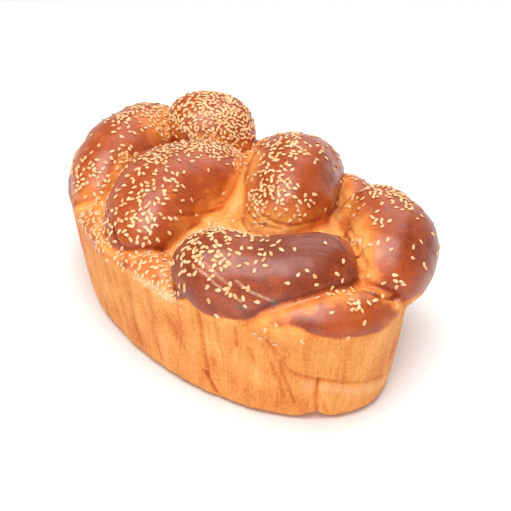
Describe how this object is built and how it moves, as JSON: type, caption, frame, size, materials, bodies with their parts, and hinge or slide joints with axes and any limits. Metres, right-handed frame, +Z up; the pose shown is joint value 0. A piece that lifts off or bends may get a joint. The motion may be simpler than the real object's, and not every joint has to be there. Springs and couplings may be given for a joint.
{
  "type": "braided loaf",
  "caption": "Braided loaf of enriched bread, baked in an oval tin, with a browned crust of plaited strands topped with sesame seeds.",
  "frame": {"origin": "centre of the flat base, on the surface that the loaf rests on", "axes": "+X along the loaf's length towards its rounder, lower end, +Y across it, +Z up"},
  "size_m": [0.2454, 0.1524, 0.1005],
  "materials": {
    "crust": "satin, egg-washed brown on top and pale gold down the sides",
    "sesame": "matt, cream coloured"
  },
  "bodies": {
    "root": {"loaf": "crust"}
  },
  "joints": []
}
